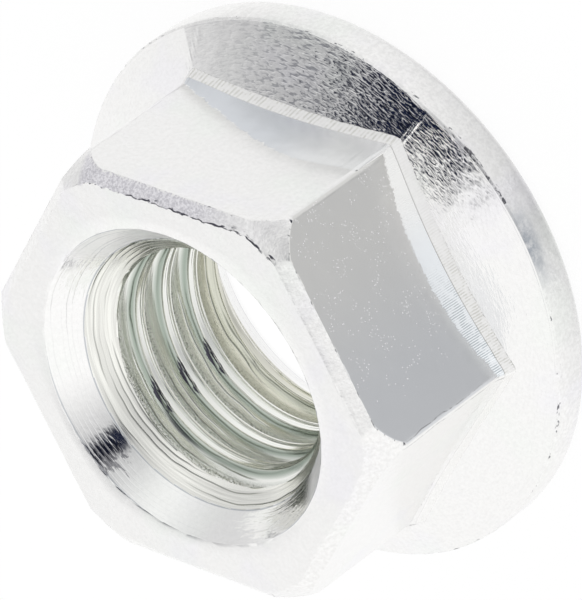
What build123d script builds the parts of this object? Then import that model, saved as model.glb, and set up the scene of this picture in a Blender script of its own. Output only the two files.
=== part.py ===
from build123d import *

import os
from math import cos, radians, tan

# Hexagon flange nut with a serrated bearing face, thread M12, cold formed as one solid.
# +Z is the thread axis. The origin is the centre of the bearing face, on which the nut
# stands, and one corner of the hexagon lies on +X. All lengths are in millimetres.

# Hexagon: wrench flats, a bevel round the free end and corners rounded off above them.
SIDES = 6
ACROSS_FLATS = 18.0
HEIGHT = 11.3
CORNER_ROUND = 0.35
BEVEL_HEIGHT = 0.45
BEVEL_WIDTH = 0.5
CROWN_RADIUS = 9.35
CROWN_MIDDLE = (10.06, 10.4)
CROWN_FOOT = (10.4, 9.45)
CROWN_CUTTER_TOP = 12.3

# Foot of the hexagon: below an arch on each flat the metal flares and swells a little, and then
# it spreads in a steep skirt onto the flange. The skirt's corners are rounded more at its foot.
FLARE_ANGLE = 81.0
FLARE_BULGE = 0.14
FLARE_END = 5.2
SKIRT_TOP = 3.65
SKIRT_APOTHEM = 9.16
SKIRT_FOOT = 2.5
SKIRT_FOOT_ROUND = 2.6
SKIRT_ANGLE = 62.0

# Flange: a shallow cone, a plain rim and a relieved ring outside the serrated face.
FLANGE_RADIUS = 12.35
RIM_TOP = 2.1
CONE_ANGLE = 20.0
RIM_TOP_ROUND = 0.12
RIM_FOOT_ROUND = 0.5
RIM_RELIEF = 0.22
BEARING_RADIUS = 11.3

# Bore at the thread crests. A countersink and a blunter lead-in cone open it at each end.
BORE_RADIUS = 5.2
COUNTERSINK_RADIUS = 7.17
COUNTERSINK_HALF_ANGLE = 36.0
LEAD_IN_RADIUS = 6.1
LEAD_IN_HALF_ANGLE = 45.0

# Serrations: ratchet teeth that slide as the nut tightens and bite as it loosens.
TOOTH_COUNT = 30
TOOTH_LAND_SHARE = 0.35
TOOTH_INNER_RADIUS = 7.75
TOOTH_OUTER_RADIUS = 11.6
TOOTH_INNER_DEPTH = 0.14
TOOTH_OUTER_DEPTH = 0.32
TOOTH_WALL_LEAN = 15.0

side_angle = 360.0 / SIDES
apothem = ACROSS_FLATS / 2
countersink_depth = (COUNTERSINK_RADIUS - LEAD_IN_RADIUS) / tan(radians(COUNTERSINK_HALF_ANGLE))
lead_in_depth = (LEAD_IN_RADIUS - BORE_RADIUS) / tan(radians(LEAD_IN_HALF_ANGLE))
bore_mouth = countersink_depth + lead_in_depth
skirt_spread = (SKIRT_TOP - SKIRT_FOOT) / tan(radians(SKIRT_ANGLE))
flare_draw = (FLARE_END - SKIRT_TOP) / tan(radians(FLARE_ANGLE))
valley_angle = 360.0 / TOOTH_COUNT * (1 - TOOTH_LAND_SHARE)


def draw_hexagon(height, half_width, corner_round=CORNER_ROUND):
    """Draw a hexagon with rounded corners, level at the given height."""
    with BuildSketch(Plane.XY.offset(height)) as section:
        RegularPolygon(half_width, SIDES, major_radius=False)
        fillet(section.vertices(), corner_round)
    return section.sketch


def draw_swollen_hexagon(height, half_width):
    """Draw a hexagon whose sides swell outward in the middle, level at the given height."""
    middle = Vector(0, half_width)
    corner = Vector(0, (half_width - FLARE_BULGE) / cos(radians(side_angle / 2)))
    with BuildSketch(Plane.XY.offset(height)) as section:
        with BuildLine():
            for side in range(SIDES):
                turned = [
                    corner.rotate(Axis.Z, (side - 0.5) * side_angle),
                    middle.rotate(Axis.Z, side * side_angle),
                    corner.rotate(Axis.Z, (side + 0.5) * side_angle),
                ]
                ThreePointArc(*turned)
        make_face()
        fillet(section.vertices(), CORNER_ROUND)
    return section.sketch


def draw_valley(radius, depth):
    """Draw the section of one valley between two teeth, at a radius along +X."""
    width = radius * radians(valley_angle)
    wall = depth * tan(radians(TOOTH_WALL_LEAN))
    with BuildSketch(Plane.YZ.offset(radius)) as section:
        with BuildLine():
            Polyline((0, -depth), (0, 0), (wall, depth), (width, 0), (width, -depth), close=True)
        make_face()
    return section.sketch


# The cutter for one valley, narrow and shallow at the bore and wide and deep at the rim.
with BuildPart() as valley_cutter:
    inner_end = draw_valley(TOOTH_INNER_RADIUS, TOOTH_INNER_DEPTH)
    outer_end = draw_valley(TOOTH_OUTER_RADIUS, TOOTH_OUTER_DEPTH)
    loft([inner_end, outer_end], ruled=True)

with BuildPart() as flange_nut:
    # Flange, turned from its half section. The cone runs on under the hexagon to the axis.
    with BuildSketch(Plane.XZ) as flange_section:
        with BuildLine():
            Polyline(
                (0, RIM_TOP + FLANGE_RADIUS * tan(radians(CONE_ANGLE))),
                (0, 0),
                (BEARING_RADIUS, 0),
                (BEARING_RADIUS + RIM_RELIEF, RIM_RELIEF),
                (FLANGE_RADIUS, RIM_RELIEF),
                (FLANGE_RADIUS, RIM_TOP),
                close=True,
            )
        make_face()
        rim_corners = flange_section.vertices().group_by(Axis.X)[-1].sort_by(Axis.Y)
        fillet(rim_corners[0], RIM_FOOT_ROUND)
        fillet(rim_corners[1], RIM_TOP_ROUND)
    revolve(axis=Axis.Z)

    # Hexagon with its bevelled free end, and the skirt and the flares round its foot.
    bevel_foot = draw_hexagon(HEIGHT - BEVEL_HEIGHT, apothem)
    loft([draw_hexagon(SKIRT_FOOT, apothem), bevel_foot], ruled=True)
    loft([bevel_foot, draw_hexagon(HEIGHT, apothem - BEVEL_WIDTH)], ruled=True)
    skirt_foot = draw_hexagon(SKIRT_FOOT, SKIRT_APOTHEM + skirt_spread, SKIRT_FOOT_ROUND)
    skirt_top = draw_swollen_hexagon(SKIRT_TOP, SKIRT_APOTHEM)
    loft([skirt_foot, skirt_top], ruled=True)
    loft([skirt_top, draw_swollen_hexagon(FLARE_END, SKIRT_APOTHEM - flare_draw)], ruled=True)

    # Crown: the corners of the free end are turned away along an arc.
    with BuildSketch(Plane.XZ):
        with BuildLine():
            ThreePointArc((CROWN_RADIUS, HEIGHT), CROWN_MIDDLE, CROWN_FOOT)
            Polyline(
                CROWN_FOOT,
                (FLANGE_RADIUS, CROWN_FOOT[1]),
                (FLANGE_RADIUS, CROWN_CUTTER_TOP),
                (CROWN_RADIUS, CROWN_CUTTER_TOP),
                (CROWN_RADIUS, HEIGHT),
            )
        make_face()
    revolve(axis=Axis.Z, mode=Mode.SUBTRACT)

    # Bore with a countersink and a lead-in cone at each end, cut with one turned profile.
    with BuildSketch(Plane.XZ):
        with BuildLine():
            Polyline(
                (0, 0),
                (COUNTERSINK_RADIUS, 0),
                (LEAD_IN_RADIUS, countersink_depth),
                (BORE_RADIUS, bore_mouth),
                (BORE_RADIUS, HEIGHT - bore_mouth),
                (LEAD_IN_RADIUS, HEIGHT - countersink_depth),
                (COUNTERSINK_RADIUS, HEIGHT),
                (0, HEIGHT),
                close=True,
            )
        make_face()
    revolve(axis=Axis.Z, mode=Mode.SUBTRACT)

    # Serrations: the same valley is cut all round the bearing face.
    with PolarLocations(0, TOOTH_COUNT):
        add(valley_cutter.part, mode=Mode.SUBTRACT)

flange_nut.part.label = "flange_nut"
os.makedirs("parts", exist_ok=True)
export_step(flange_nut.part, "parts/flange_nut.step")
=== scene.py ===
import math

import bmesh
import bpy
from mathutils import Matrix, Vector, noise


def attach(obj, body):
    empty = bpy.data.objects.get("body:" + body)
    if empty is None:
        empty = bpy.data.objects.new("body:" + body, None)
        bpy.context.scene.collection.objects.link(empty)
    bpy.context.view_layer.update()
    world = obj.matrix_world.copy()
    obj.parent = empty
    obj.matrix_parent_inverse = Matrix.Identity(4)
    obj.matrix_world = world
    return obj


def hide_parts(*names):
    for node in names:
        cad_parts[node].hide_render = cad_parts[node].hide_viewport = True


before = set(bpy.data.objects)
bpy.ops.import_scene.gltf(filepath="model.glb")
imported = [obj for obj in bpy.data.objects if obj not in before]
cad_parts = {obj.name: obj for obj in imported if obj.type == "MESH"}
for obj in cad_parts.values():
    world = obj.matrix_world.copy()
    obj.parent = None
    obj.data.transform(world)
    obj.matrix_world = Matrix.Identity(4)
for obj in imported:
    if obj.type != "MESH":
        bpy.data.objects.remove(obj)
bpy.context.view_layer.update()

# Sizes of the hexagon in millimetres. The mesh is scaled to metres last.
MM = 0.001
HEIGHT = 11.3
APOTHEM = 9.0
CORNER_ROUND = 0.35
FACE_INNER_RADIUS = 7.27
BEVEL_HEIGHT = 0.45
BEVEL_WIDTH = 0.5
CROWN_RADIUS = 9.35
CROWN_CENTRE = (7.1228, 8.813)
CROWN_ARC = 3.3385
SKIRT_TOP = 3.78
SKIRT_TOP_DROP = 0.45
SKIRT_APOTHEM = 9.16
SKIRT_FOOT_APOTHEM = 9.28

# The flange, a hair narrower than the solid's, and the teeth on its bearing face.
FLANGE_RADIUS = 12.345
CONE_RADIUS = 12.273
CONE_SLOPE = math.tan(math.radians(20.0))
RIM_TOP = 2.1
RIM_RIPPLE = 0.16
RIM_LIP_HEIGHT = 0.012
RIM_LIP_AT = 0.985
RIM_LIP_WIDTH = 0.015
RIM_TOP_ROUND = 0.12
RIM_FOOT_ROUND = 0.5
RIM_TOP_SHARE = 0.4
RIM_ROUND_START = math.radians(70.0)
RIM_RELIEF = 0.22
RELIEF_SHARE = 0.1
BEARING_RADIUS = 11.3
TOOTH_COUNT = 30
TOOTH_LAND_SHARE = 0.35
TOOTH_INNER_RADIUS = 7.75
TOOTH_OUTER_RADIUS = 11.6
TOOTH_INNER_DEPTH = 0.14
TOOTH_OUTER_DEPTH = 0.32
TOOTH_WALL = 0.075

# The flare at the foot of each wrench flat, anticlockwise from +X: how high it reaches, where
# along the flat it is highest (from -1 to 1), how far it reaches, and how flat its arc is.
FLARE_BASE = 3.65
FLARES = ((1.1, 0.1, 1.1, 1.5), (0.9, -0.1, 1.1, 1.5), (1.2, 0.0, 1.1, 1.5),
          (0.5, 0.3, 0.9, 1.5), (1.08, 0.03, 1.02, 2.3), (2.4, -0.45, 1.45, 1.5))
FLARE_LEAST = 0.06
FLARE_BEND = 1.15
FULL_FLARE = 0.6
LOW_FLARE_SPREAD = 0.35

# How rough the burr round the free end is over each flat, anticlockwise from +X, where along a
# flat it starts to ease into the next one's, its share of the bevel and how deep it is hollowed.
BURRS = (0.25, 0.35, 0.2, 0.3, 0.25, 1.0)
BURR_EASES_FROM = 0.9
BURR_SHARE = 0.3
BURR_HOLLOW = 0.07
BEVEL_WEAR = 0.015

# The crease in the cone at each corner, anticlockwise from +X: how far off the corner it starts
# and ends, and its crook. A groove runs beside it, sized in its width and height.
CREASES = ((0.36, -0.95, 0.16), (0.1, 0.0, 0.12), (0.0, 0.2, 0.1),
           (-0.15, -0.1, 0.03), (-0.1, -0.13, 0.14), (-0.2, -0.26, 0.03))
CREASE_WIDTH = 0.045
CREASE_HEIGHT = 0.018
CREASE_GROOVE_OFF = 1.6
CREASE_GROOVE_DEPTH = 0.7

# How uneven the forging is: the size of a wave, and about how far it reaches.
BURR_TEETH = (0.25, 0.09)
BURR_DENTS = (0.2, 0.09)
FREE_EDGE_WAVES = (1.6, 0.05)
BEVEL_WAVES = (0.5, 0.02)
FLARE_RAGS = (0.12, 0.07)
FLARE_WAVES = (0.5, 0.1)
SKIRT_FOOT_WAVES = (0.3, 0.025)
CREASE_CROOKS = (0.25, 2.0)
RIM_NICKS = (0.45, 1.0)
RIM_NICK_LEAST = 0.42
RIM_NICK_DEPTH = 0.15

# The bore: a countersink, a lead-in cone under it that stands a little off centre, and the
# thread. The upper edge of its crest passes the angle and height of CREST_AT.
COUNTERSINK_RADIUS = 7.17
COUNTERSINK_SLOPE = math.tan(math.radians(36.0))
MOUTH_ROUND = 0.02
MOUTH_WIDTH = 0.08
MOUTH_WOBBLE = 0.05
LEAD_IN_RADIUS = 6.1
LEAD_IN_OFFSET = 0.1
LEAD_IN_TOWARDS = math.radians(130.0)
LEAD_IN_SLOPE = math.tan(math.radians(45.0))
LEAD_IN_LIP = 0.02
LEAD_IN_LIP_WIDTH = 0.06
CREST_RADIUS = 5.2
ROOT_RADIUS = 6.0
PITCH = 1.75
CREST_LAND = 0.6
ROOT_LAND = 0.23
CREST_AT = (math.radians(103.0), 6.23)
CREST_SEAM_AT = 0.17
CREST_SEAM_DEPTH = 0.06
CREST_SEAM_WIDTH = 0.05
THREAD_ROUND = 0.06
THREAD_START = CREST_AT[1] - CREST_LAND - PITCH * CREST_AT[0] / math.tau

# How finely the mesh is made, and the least angle between faces that shows as an edge.
SIXTH = math.tau / 6
OUTSIDE_STEPS = 720
CORNER_CROWDING = 0.15
THREAD_STEPS = 144
THREAD_ROWS = 35
THREAD_SPARE_TURNS = 3
THREAD_MERGE = 0.004
CUT_TOLERANCE = 1e-5
LEVEL_TOLERANCE = 1e-3
SHARP_ANGLE = math.radians(50.0)


def mix(start, end, share):
    """Value a share of the way from start to end."""
    return start + (end - start) * share


def limit(value):
    """Keep a value between 0 and 1."""
    return min(max(value, 0.0), 1.0)


def fold(angle):
    """Angle from the middle of the nearest wrench flat."""
    return angle % SIXTH - SIXTH / 2


def along_flat(angle):
    """Place along a wrench flat, from -1 at one corner through 0 to 1 at the next."""
    return fold(angle) / (SIXTH / 2)


def crowd_corners(angle):
    """Turn an even step round the nut into one that is finer near the hexagon's corners."""
    return angle + SIXTH / 2 * CORNER_CROWDING * math.sin(math.pi * along_flat(angle))


def wander(x, y, z, scale, reach):
    """Smooth uneven offset at a point, up to about the reach. Another z gives another pattern."""
    return noise.noise(Vector((x, y, z)) / scale) * reach


def hexagon_radius(half_width, angle):
    """Radius of a hexagon with rounded corners in one direction."""
    turn = abs(fold(angle))
    centre = (half_width - CORNER_ROUND) / math.cos(SIXTH / 2)
    off_corner = SIXTH / 2 - turn
    reach = centre * math.sin(off_corner)
    tangent = math.atan((half_width - CORNER_ROUND) * math.tan(SIXTH / 2) / half_width)
    if turn < tangent:
        return half_width / math.cos(turn)
    return centre * math.cos(off_corner) + math.sqrt(CORNER_ROUND**2 - reach**2)


def chamfer_height(radius, angle):
    """Height of the chamfered free end: the bevel along a flat, or the crown at a corner."""
    past_bevel = max(radius * math.cos(fold(angle)) - (APOTHEM - BEVEL_WIDTH), 0.0)
    bevel = HEIGHT - past_bevel * BEVEL_HEIGHT / BEVEL_WIDTH
    past_crown = radius - CROWN_CENTRE[0]
    crown = CROWN_CENTRE[1] + math.sqrt(CROWN_ARC**2 - past_crown**2)
    return min(bevel, crown, HEIGHT)


def burr(angle):
    """How rough the burr is at an angle, easing from one flat's value to the next one's."""
    along = along_flat(angle)
    flat = int(angle // SIXTH)
    neighbour = BURRS[(flat + (1 if along > 0 else -1)) % 6]
    eased = limit((abs(along) - BURR_EASES_FROM) / (1 - BURR_EASES_FROM))
    return mix(BURRS[flat % 6], neighbour, eased / 2)


def place_free_end(share, angle):
    """The flat free end, out to the burr at the bevel's upper edge."""
    edge = min((APOTHEM - BEVEL_WIDTH) / math.cos(fold(angle)), CROWN_RADIUS)
    x, y = math.cos(angle) * edge, math.sin(angle) * edge
    edge += wander(x, y, 1.0, *BURR_TEETH) * burr(angle) + wander(x, y, 5.0, *FREE_EDGE_WAVES)
    return mix(FACE_INNER_RADIUS, edge, share), HEIGHT


def place_chamfer(share, angle):
    """The bevel and the crown, worn in the middle and hollowed beside the burr."""
    edge = place_free_end(1.0, angle)[0]
    radius = mix(edge, hexagon_radius(APOTHEM, angle), share)
    x, y = math.cos(angle) * radius, math.sin(angle) * radius
    beside_burr = burr(angle) * max(1.0 - share / BURR_SHARE, 0.0)
    hollow = (wander(x, y, 0.0, *BURR_DENTS) - BURR_HOLLOW) * beside_burr
    worn = (wander(x, y, share * 2.0, *BEVEL_WAVES) - BEVEL_WEAR) * math.sin(math.pi * share)
    return radius, min(chamfer_height(radius, angle) + worn + hollow, HEIGHT)


def skirt_top(angle):
    """Height of the crease above the skirt, an arc that is highest in the middle of a flat."""
    return SKIRT_TOP - SKIRT_TOP_DROP * along_flat(angle) ** 2


def flare_edge(angle):
    """Height at which the flare leaves a wrench flat: an arc with a ragged line."""
    reach_up, middle, reach, flatness = FLARES[int(angle // SIXTH) % 6]
    off_middle = abs(along_flat(angle) - middle) / reach
    arc = reach_up * max(1.0 - off_middle**flatness, 0.0)
    around = angle * APOTHEM
    ragged = wander(around, 0.0, 0.0, *FLARE_RAGS) + wander(around, 3.0, 0.0, *FLARE_WAVES)
    return max(FLARE_BASE + arc + ragged, skirt_top(angle) + FLARE_LEAST)


def place_flat(share, angle):
    """The plain part of a wrench flat, from the bevel down to the flare."""
    top = place_chamfer(1.0, angle)[1]
    return hexagon_radius(APOTHEM, angle), mix(top, flare_edge(angle), share)


def place_flare(share, angle):
    """From the flat out to the crease above the skirt. Where the flare is low it spreads less."""
    top, foot = flare_edge(angle), skirt_top(angle)
    spread = mix(LOW_FLARE_SPREAD, 1.0, limit((top - foot) / FULL_FLARE))
    half_width = mix(APOTHEM, mix(APOTHEM, SKIRT_APOTHEM, spread), share**FLARE_BEND)
    return hexagon_radius(half_width, angle), mix(top, foot, share)


def cone_height(radius, angle):
    """Height of the cone, which is pressed a little lower in front of the flats."""
    ripple = RIM_RIPPLE * along_flat(angle) ** 2 - RIM_RIPPLE / 3
    return RIM_TOP + ripple + (FLANGE_RADIUS - radius) * CONE_SLOPE


def skirt_foot(angle):
    """The uneven line where the skirt meets the cone."""
    radius = hexagon_radius(SKIRT_FOOT_APOTHEM, angle)
    radius += wander(angle * 10.0, 0.0, 7.0, *SKIRT_FOOT_WAVES)
    return radius, cone_height(radius, angle)


def place_skirt(share, angle):
    """The steep skirt, from the crease down to the cone."""
    top_radius, top = place_flare(1.0, angle)
    foot_radius, foot = skirt_foot(angle)
    return mix(top_radius, foot_radius, share), mix(top, foot, share)


def place_cone(share, angle):
    """The flange's cone, with a thin crooked crease out from each corner and a lip at the rim."""
    foot_radius = skirt_foot(angle)[0]
    radius = mix(foot_radius, CONE_RADIUS, share)
    nearest = round(angle / SIXTH)
    start, end, crook = CREASES[nearest % 6]
    off_corner = (angle - nearest * SIXTH) * radius - mix(start, end, share)
    off_corner -= wander(radius, nearest * 3.7, 0.0, *CREASE_CROOKS) * crook * limit(share * 5.0)
    off_crease = off_corner / CREASE_WIDTH
    groove = CREASE_GROOVE_DEPTH * math.exp(-((off_crease - CREASE_GROOVE_OFF) ** 2))
    crease = math.exp(-off_crease**2) - groove
    lip = limit(1.0 - abs(share - RIM_LIP_AT) / RIM_LIP_WIDTH)
    raised = CREASE_HEIGHT * crease * limit((1.0 - share) * 4.0) + RIM_LIP_HEIGHT * lip
    return radius, cone_height(radius, angle) + raised


def place_rim(share, angle):
    """Rim of the flange: a small round, a cylinder and a larger round under it."""
    top = cone_height(FLANGE_RADIUS, angle)
    over_least = wander(angle * FLANGE_RADIUS, 0.0, 2.0, *RIM_NICKS) - RIM_NICK_LEAST
    nick = RIM_NICK_DEPTH * max(over_least, 0.0)
    if share < RIM_TOP_SHARE:
        turn = mix(RIM_ROUND_START, 0.0, share / RIM_TOP_SHARE)
        return (FLANGE_RADIUS - RIM_TOP_ROUND * (1 - math.cos(turn)) - nick,
                top - RIM_TOP_ROUND * (1 - math.sin(turn)) - nick)
    turn = mix(0.0, math.radians(-90.0), (share - RIM_TOP_SHARE) / (1 - RIM_TOP_SHARE))
    return (FLANGE_RADIUS - RIM_FOOT_ROUND * (1 - math.cos(turn)),
            RIM_RELIEF + RIM_FOOT_ROUND * (1 + math.sin(turn)))


def tooth_depth(radius, angle):
    """How far the valleys between the ratchet teeth reach up from the bearing plane."""
    if not TOOTH_INNER_RADIUS < radius < TOOTH_OUTER_RADIUS:
        return 0.0
    along = (radius - TOOTH_INNER_RADIUS) / (TOOTH_OUTER_RADIUS - TOOTH_INNER_RADIUS)
    depth = mix(TOOTH_INNER_DEPTH, TOOTH_OUTER_DEPTH, along)
    step = math.tau / TOOTH_COUNT
    turn = angle % step
    wall = TOOTH_WALL / radius
    valley = step * (1 - TOOTH_LAND_SHARE)
    if turn < wall:
        return depth * turn / wall
    return depth * max(valley - turn, 0.0) / (valley - wall)


def place_bearing(share, angle):
    """The relief inside the rim, then the serrated face in to the countersink."""
    outer = BEARING_RADIUS + RIM_RELIEF
    if share < RELIEF_SHARE:
        relief = RIM_RELIEF * (1 - share / RELIEF_SHARE)
        return mix(outer, BEARING_RADIUS, share / RELIEF_SHARE), max(relief, tooth_depth(outer, angle))
    radius = mix(BEARING_RADIUS, FACE_INNER_RADIUS, (share - RELIEF_SHARE) / (1 - RELIEF_SHARE))
    return radius, tooth_depth(radius, angle)


# Each zone down the outside: its name, what places it, and where its rows lie along it.
ZONES = (
    ("face", place_free_end, (0.0, 0.3, 0.6, 0.85, 0.97, 1.0)),
    ("chamfer", place_chamfer, (0.08, 0.25, 0.5, 0.75, 0.92, 1.0)),
    ("flat", place_flat, (0.008, 0.05, 0.2, 0.4, 0.6, 0.8, 0.93, 0.985, 0.996, 1.0)),
    ("flare", place_flare, (0.06, 0.2, 0.4, 0.6, 0.8, 0.95, 1.0)),
    ("skirt", place_skirt, (0.05, 0.3, 0.7, 0.95, 1.0)),
    ("cone", place_cone, (0.02, 0.06, 0.12, 0.2, 0.3, 0.4, 0.5, 0.6, 0.7, 0.8, 0.9, 0.955, 0.97,
                          0.985, 1.0)),
    ("rim", place_rim, (0.1, 0.2, 0.3, 0.4, 0.41, 0.52, 0.64, 0.76, 0.88, 1.0)),
    ("bearing", place_bearing, (0.0, 0.1, 0.11, 0.3, 0.5, 0.7, 0.866, 0.872, 1.0)),
)

# The finishes in the order of the nut's material slots, and the two zones that share another's.
FINISHES = ("face", "chamfer", "flat", "skirt", "cone", "rim", "countersink", "lead_in", "thread")
SHARED_FINISH = {"flare": "flat", "bearing": "face"}


def wire(bm, points):
    """Add a run of vertices joined by edges."""
    verts = [bm.verts.new(point) for point in points]
    edges = [bm.edges.new(pair) for pair in zip(verts, verts[1:])]
    return verts, edges


def forge_outside(bm):
    """Spin the section at a corner into a round blank, then press hexagon and teeth into it."""
    rows = [(zone, share) for zone, (_, _, shares) in enumerate(ZONES) for share in shares]
    zone_layer = bm.verts.layers.int.new("zone")
    share_layer = bm.verts.layers.float.new("share")
    section_layer = bm.verts.layers.float.new("down_section")
    flare_layer = bm.verts.layers.float.new("into_flare")
    burr_layer = bm.verts.layers.float.new("burr_roughness")
    points = []
    for zone, share in rows:
        radius, height = ZONES[zone][1](share, 0.0)
        points.append((radius, 0.0, height))
    verts, edges = wire(bm, points)
    for vert, (zone, share) in zip(verts, rows):
        vert[zone_layer] = zone
        vert[share_layer] = share
        vert[section_layer] = zone + share
    bmesh.ops.spin(bm, geom=verts + edges, axis=(0, 0, 1), angle=math.tau,
                   steps=OUTSIDE_STEPS, use_merge=True)
    for vert in bm.verts:
        angle = crowd_corners(math.atan2(vert.co.y, vert.co.x))
        radius, height = ZONES[vert[zone_layer]][1](vert[share_layer], angle)
        vert.co = (radius * math.cos(angle), radius * math.sin(angle), height)
        vert[flare_layer] = flare_edge(angle) - height
        vert[burr_layer] = burr(angle)
    for face in bm.faces:
        name = ZONES[max(vert[zone_layer] for vert in face.verts)][0]
        face.material_index = FINISHES.index(SHARED_FINISH.get(name, name))


def groove_radius(rise):
    """Radius of the thread at a rise above the lower edge of a crest."""
    flank = (PITCH - CREST_LAND - ROOT_LAND) / 2
    from_root = abs(rise - CREST_LAND - flank - ROOT_LAND / 2)
    groove = ROOT_RADIUS - max(from_root - ROOT_LAND / 2, 0.0) * (ROOT_RADIUS - CREST_RADIUS) / flank
    seam = CREST_SEAM_DEPTH * math.exp(-(((rise - CREST_SEAM_AT) / CREST_SEAM_WIDTH) ** 2))
    crest = CREST_RADIUS + seam
    return (groove + crest + math.hypot(groove - crest, THREAD_ROUND)) / 2 - THREAD_ROUND / 8


def open_bore(angle, height):
    """Radius of the countersink or, below it, of the lead-in cone, and which of them it is."""
    from_end = min(height, HEIGHT - height)
    wobble = MOUTH_WOBBLE * math.cos(3 * angle + 1.0) * limit(1 - from_end)
    countersink = COUNTERSINK_RADIUS - from_end * COUNTERSINK_SLOPE + wobble
    edge = LEAD_IN_RADIUS + LEAD_IN_OFFSET * math.cos(angle - LEAD_IN_TOWARDS)
    past_edge = from_end - (COUNTERSINK_RADIUS - edge) / COUNTERSINK_SLOPE
    lip = LEAD_IN_LIP * math.exp(-((past_edge / LEAD_IN_LIP_WIDTH) ** 2))
    lead_in = edge - past_edge * LEAD_IN_SLOPE
    return min(countersink, lead_in) - lip, "lead_in" if past_edge > 0 else "countersink"


def tap_bore(bm):
    """Spin a column of thread profiles by one turn and one pitch, then open both ends.

    The column starts more than a pitch under the foot, so that both cuts meet thread all round.
    """
    turns = math.ceil(HEIGHT / PITCH) + THREAD_SPARE_TURNS
    start = THREAD_START - PITCH * math.ceil(THREAD_START / PITCH + 1.5)
    points = []
    for row in range(turns * THREAD_ROWS):
        rise = row * PITCH / THREAD_ROWS
        points.append((groove_radius(rise % PITCH), 0.0, start + rise))
    verts, edges = wire(bm, points)
    bmesh.ops.spin(bm, geom=verts + edges, axis=(0, 0, 1), angle=math.tau,
                   dvec=(0, 0, PITCH / THREAD_STEPS), steps=THREAD_STEPS)
    bmesh.ops.remove_doubles(bm, verts=bm.verts, dist=THREAD_MERGE)
    for height, side in ((0.0, -1.0), (HEIGHT, 1.0)):
        bmesh.ops.bisect_plane(bm, geom=bm.verts[:] + bm.edges[:] + bm.faces[:], dist=CUT_TOLERANCE,
                               plane_co=(0, 0, height), plane_no=(0, 0, side), clear_outer=True)
    finish_of = {}
    for vert in bm.verts:
        radius = math.hypot(vert.co.x, vert.co.y)
        opening, finish = open_bore(math.atan2(vert.co.y, vert.co.x), vert.co.z)
        if opening > radius:
            vert.co.xy *= opening / radius
        finish_of[vert] = FINISHES.index(finish if opening > radius else "thread")
    for face in bm.faces:
        face.material_index = max(finish_of[vert] for vert in face.verts)


def boundary_at(bm, height):
    """Open edges of the mesh in one level plane."""
    return [edge for edge in bm.edges if edge.is_boundary
            and all(abs(vert.co.z - height) < LEVEL_TOLERANCE for vert in edge.verts)]


def make_nut():
    """Forge the outside, tap the bore, and join the two where they open at both ends."""
    bore = bmesh.new()
    tap_bore(bore)
    bore_mesh = bpy.data.meshes.new("bore")
    bore.to_mesh(bore_mesh)
    bore.free()
    bm = bmesh.new()
    forge_outside(bm)
    bm.from_mesh(bore_mesh)
    bpy.data.meshes.remove(bore_mesh)
    for height in (0.0, HEIGHT):
        bmesh.ops.bridge_loops(bm, edges=boundary_at(bm, height))
    # The countersink's upper edge is let down a little, so that it looks broken and not sharp.
    for vert in bm.verts:
        in_mouth = math.hypot(vert.co.x, vert.co.y) < COUNTERSINK_RADIUS + MOUTH_WIDTH
        if in_mouth and vert.co.z > HEIGHT - LEVEL_TOLERANCE:
            vert.co.z -= MOUTH_ROUND
    bmesh.ops.recalc_face_normals(bm, faces=bm.faces)
    for edge in bm.edges:
        edge.smooth = edge.calc_face_angle(0.0) < SHARP_ANGLE
    for face in bm.faces:
        face.smooth = True
    bmesh.ops.scale(bm, vec=(MM, MM, MM), verts=bm.verts)
    mesh = bpy.data.meshes.new("serrated_flange_nut")
    bm.to_mesh(mesh)
    bm.free()
    piece = bpy.data.objects.new("serrated_flange_nut", mesh)
    bpy.context.scene.collection.objects.link(piece)
    return piece


def add_node(tree, kind, inputs=(), **settings):
    """Add a node, set its settings, and fill its inputs with values or with other sockets."""
    node = tree.nodes.new(kind)
    for name, value in settings.items():
        setattr(node, name, value)
    for name, value in dict(inputs).items():
        if isinstance(value, bpy.types.NodeSocket):
            tree.links.new(value, node.inputs[name])
        else:
            node.inputs[name].default_value = value
    return node


def calculate(tree, operation, *values):
    """Add a Math node and return its value."""
    return add_node(tree, "ShaderNodeMath", dict(enumerate(values)), operation=operation).outputs[0]


def multiply(tree, *values):
    """Product of any number of values."""
    product = values[0]
    for value in values[1:]:
        product = calculate(tree, "MULTIPLY", product, value)
    return product


def add(tree, *values):
    """Sum of any number of values."""
    total = values[0]
    for value in values[1:]:
        total = calculate(tree, "ADD", total, value)
    return total


def shift(tree, vector, *offsets):
    """Add vectors."""
    for offset in offsets:
        vector = add_node(tree, "ShaderNodeVectorMath", {0: vector, 1: offset},
                          operation="ADD").outputs["Vector"]
    return vector


def scale(tree, vector, factor):
    """Multiply a vector or a colour by a factor."""
    return add_node(tree, "ShaderNodeVectorMath", {0: vector, "Scale": factor},
                    operation="SCALE").outputs["Vector"]


def vector_of(tree, x=0.0, y=0.0, z=0.0):
    """Make a vector from values along X, Y and Z."""
    return add_node(tree, "ShaderNodeCombineXYZ", {"X": x, "Y": y, "Z": z}).outputs[0]


def fade(tree, value, start, end, low=0.0, high=1.0):
    """Ease a value from low to high as it goes from start to end."""
    inputs = {"Value": value, "From Min": start, "From Max": end, "To Min": low, "To Max": high}
    return add_node(tree, "ShaderNodeMapRange", inputs,
                    interpolation_type="SMOOTHSTEP").outputs["Result"]


def near(tree, value, middle, reach):
    """Mask that is 1 at a value and fades out within the reach on both sides."""
    off = calculate(tree, "ABSOLUTE", calculate(tree, "SUBTRACT", value, middle))
    return fade(tree, off, reach, 0.0)


def blend(tree, share, first, second):
    """Blend two colours."""
    node = add_node(tree, "ShaderNodeMix", data_type="RGBA")
    sockets = {"Factor": share, "A": first, "B": second}
    for socket in node.inputs:
        if socket.enabled and socket.name in sockets:
            value = sockets[socket.name]
            if isinstance(value, bpy.types.NodeSocket):
                tree.links.new(value, socket)
            else:
                socket.default_value = value
    return next(socket for socket in node.outputs if socket.enabled)


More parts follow.
